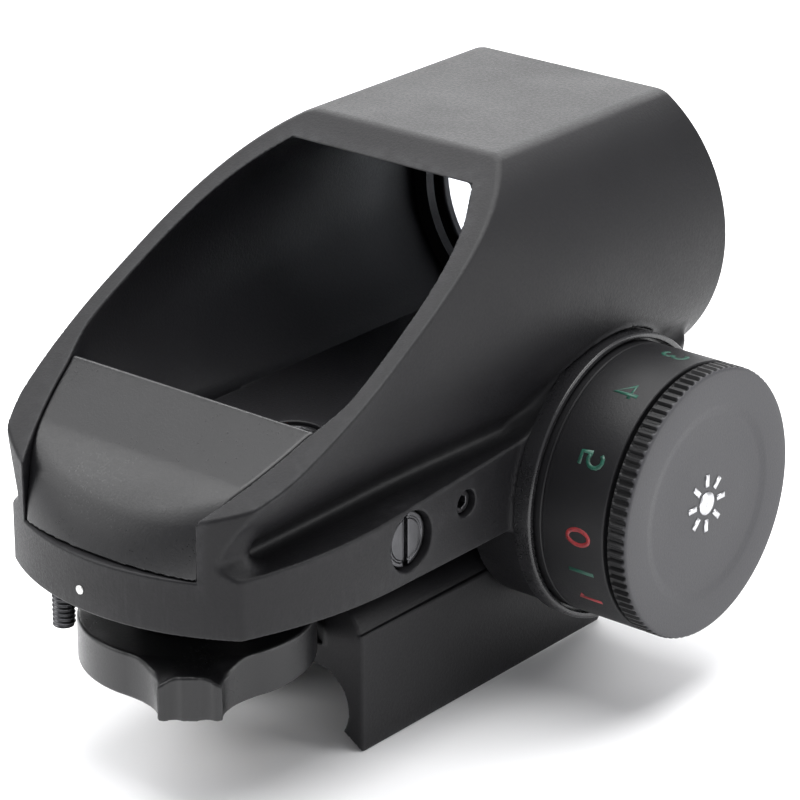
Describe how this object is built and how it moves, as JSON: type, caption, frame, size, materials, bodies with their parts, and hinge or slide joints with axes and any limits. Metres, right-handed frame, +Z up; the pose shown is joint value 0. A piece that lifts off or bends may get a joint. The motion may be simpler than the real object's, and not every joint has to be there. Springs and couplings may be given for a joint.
{
  "type": "open reflex red dot sight",
  "caption": "Open reflex red dot sight: hooded reflector window, brightness knob with coin cell, reticle selector dial under the eye end, and a clamp for a 21.2 mm accessory rail.",
  "frame": {"origin": "middle of the rail seat, the flat face of the clamp that rests on the rail", "axes": "+X to the right seen by the user (knob side), +Y forward towards the objective, +Z up"},
  "size_m": [0.0525, 0.0748, 0.0572],
  "materials": {
    "body_black": "fine sand-textured black anodised or painted casting",
    "cover_black": "satin moulded black plastic",
    "knob_black": "satin black, fine grain",
    "rubber_black": "soft black seal",
    "lens_glass": "coated optical glass with a cool reflection",
    "window_red": "clear red window",
    "steel_dark": "blackened steel",
    "steel_bright": "bright steel",
    "brass": "turned brass",
    "zinc_grey": "plain die-cast or sheet metal",
    "board_green": "circuit board",
    "cell_steel": "coin cell case",
    "led_clear": "clear LED body",
    "wire_red": "wire insulation",
    "index_white": "white paint fill"
  },
  "bodies": {
    "chassis": {"housing": "body_black", "front_lens": "lens_glass", "lens_ring": "body_black", "rear_cover": "cover_black", "cover_screws": "steel_bright", "emitter_window": "window_red", "index_dots": "index_white", "mount_base": "body_black", "mount_screws": "steel_bright", "frame_pin": "steel_bright", "windage_spring": "steel_bright", "elevation_spring": "steel_bright", "led_leads": "wire_red", "stop_screw": "steel_dark", "knob_collar": "body_black", "switch_board": "board_green", "knob_ball_spring": "steel_bright"},
    "windage_screw": {"windage_screw": "steel_dark"},
    "windage_lock": {"windage_lock": "steel_dark"},
    "windage_plunger": {"windage_plunger": "brass"},
    "windage_frame": {"windage_frame": "zinc_grey", "tray_pin": "steel_bright"},
    "elevation_screw": {"elevation_screw": "steel_dark"},
    "elevation_lock": {"elevation_lock": "steel_dark"},
    "elevation_plunger": {"elevation_plunger": "brass"},
    "emitter_tray": {"emitter_tray": "board_green", "led_bracket": "zinc_grey", "led": "led_clear"},
    "reticle_drum": {"reticle_drum": "knob_black"},
    "selector_dial": {"selector_dial": "cover_black", "dial_shaft": "brass", "dial_clip": "steel_bright", "dial_ball_spring": "steel_bright"},
    "dial_ball": {"dial_ball": "steel_bright"},
    "knob_ball": {"knob_ball": "steel_bright"},
    "brightness_drum": {"brightness_drum": "knob_black", "drum_clip": "steel_bright", "contact_wiper": "brass", "battery_contact": "brass", "battery": "cell_steel"},
    "cap_oring": {"cap_oring": "rubber_black"},
    "battery_cap": {"battery_cap": "knob_black"},
    "clamp_jaw": {"clamp_jaw": "body_black"},
    "clamp_screw_front": {"clamp_screw_front": "steel_dark"},
    "clamp_screw_rear": {"clamp_screw_rear": "steel_dark"}
  },
  "joints": [
    {"name": "windage_turn", "type": "hinge", "parent": "chassis", "child": "windage_screw", "pos_m": [0.0177, -0.0198, 0.017], "axis": [1, 0, 0], "range_deg": [-580, 580]},
    {"name": "windage_travel", "type": "slide", "parent": "chassis", "child": "windage_plunger", "axis": [1, 0, 0], "range_m": [-0.0008, 0.0008], "deforming": ["windage_spring"]},
    {"name": "windage_yaw", "type": "hinge", "parent": "chassis", "child": "windage_frame", "pos_m": [0, -0.0396, 0.0155], "axis": [0, 0, 1], "range_deg": [-2.4, 2.4]},
    {"name": "windage_lock_turn", "type": "hinge", "parent": "chassis", "child": "windage_lock", "pos_m": [0.0165, -0.0113, 0.0181], "axis": [1, 0, 0], "range_deg": [0, 180]},
    {"name": "elevation_turn", "type": "hinge", "parent": "chassis", "child": "elevation_screw", "pos_m": [0, -0.0156, 0.0212], "axis": [0, 0, 1], "range_deg": [-580, 580]},
    {"name": "elevation_travel", "type": "slide", "parent": "chassis", "child": "elevation_plunger", "axis": [0, 0, 1], "range_m": [-0.0008, 0.0008], "deforming": ["elevation_spring"]},
    {"name": "elevation_pitch", "type": "hinge", "parent": "windage_frame", "child": "emitter_tray", "pos_m": [0, -0.0364, 0.0173], "axis": [1, 0, 0], "range_deg": [-2.3, 2.3]},
    {"name": "elevation_lock_turn", "type": "hinge", "parent": "chassis", "child": "elevation_lock", "pos_m": [0.0054, -0.0156, 0.021], "axis": [0, 0, 1], "range_deg": [0, 180]},
    {"name": "reticle_select", "type": "hinge", "parent": "chassis", "child": "selector_dial", "pos_m": [0, -0.0302, 0.0057], "axis": [0, 0, 1], "range_deg": [-45, 0]},
    {"name": "reticle_drum_turn", "type": "hinge", "parent": "emitter_tray", "child": "reticle_drum", "pos_m": [0, -0.0302, 0.018], "axis": [0, 0, 1], "range_deg": [-45, 0]},
    {"name": "dial_ball_press", "type": "slide", "parent": "selector_dial", "child": "dial_ball", "axis": [0, 0, -1], "range_m": [0, 0.0003], "deforming": ["dial_ball_spring"]},
    {"name": "brightness_turn", "type": "hinge", "parent": "chassis", "child": "brightness_drum", "pos_m": [0.0212, 0.0111, 0.0141], "axis": [1, 0, 0], "continuous": true},
    {"name": "knob_ball_press", "type": "slide", "parent": "chassis", "child": "knob_ball", "axis": [-1, 0, 0], "range_m": [0, 0.0003], "deforming": ["knob_ball_spring"]},
    {"name": "cap_travel", "type": "slide", "parent": "brightness_drum", "child": "cap_oring", "axis": [1, 0, 0], "range_m": [0, 0.0011]},
    {"name": "cap_turn", "type": "hinge", "parent": "cap_oring", "child": "battery_cap", "pos_m": [0.0298, 0.0111, 0.0141], "axis": [1, 0, 0], "range_deg": [0, 530]},
    {"name": "jaw_travel", "type": "slide", "parent": "chassis", "child": "clamp_jaw", "axis": [-1, 0, 0], "range_m": [0, 0.002]},
    {"name": "clamp_front_turn", "type": "hinge", "parent": "clamp_jaw", "child": "clamp_screw_front", "pos_m": [-0.0125, 0.0125, 0.0029], "axis": [-1, 0, 0], "range_deg": [0, 1030]},
    {"name": "clamp_rear_turn", "type": "hinge", "parent": "clamp_jaw", "child": "clamp_screw_rear", "pos_m": [-0.0125, -0.0125, 0.0029], "axis": [-1, 0, 0], "range_deg": [0, 1030]}
  ],
  "couplings": [
    {"joint": "windage_turn", "follows": "windage_travel", "rad_per_m": -12566},
    {"joint": "windage_yaw", "follows": "windage_travel", "rad_per_m": -50.505},
    {"joint": "elevation_turn", "follows": "elevation_travel", "rad_per_m": -12566},
    {"joint": "elevation_pitch", "follows": "elevation_travel", "rad_per_m": 48.077},
    {"joint": "reticle_drum_turn", "follows": "reticle_select", "ratio": 1},
    {"joint": "cap_turn", "follows": "cap_travel", "rad_per_m": 8377.6},
    {"joint": "clamp_front_turn", "follows": "jaw_travel", "rad_per_m": 8976},
    {"joint": "clamp_rear_turn", "follows": "jaw_travel", "rad_per_m": 8976}
  ]
}
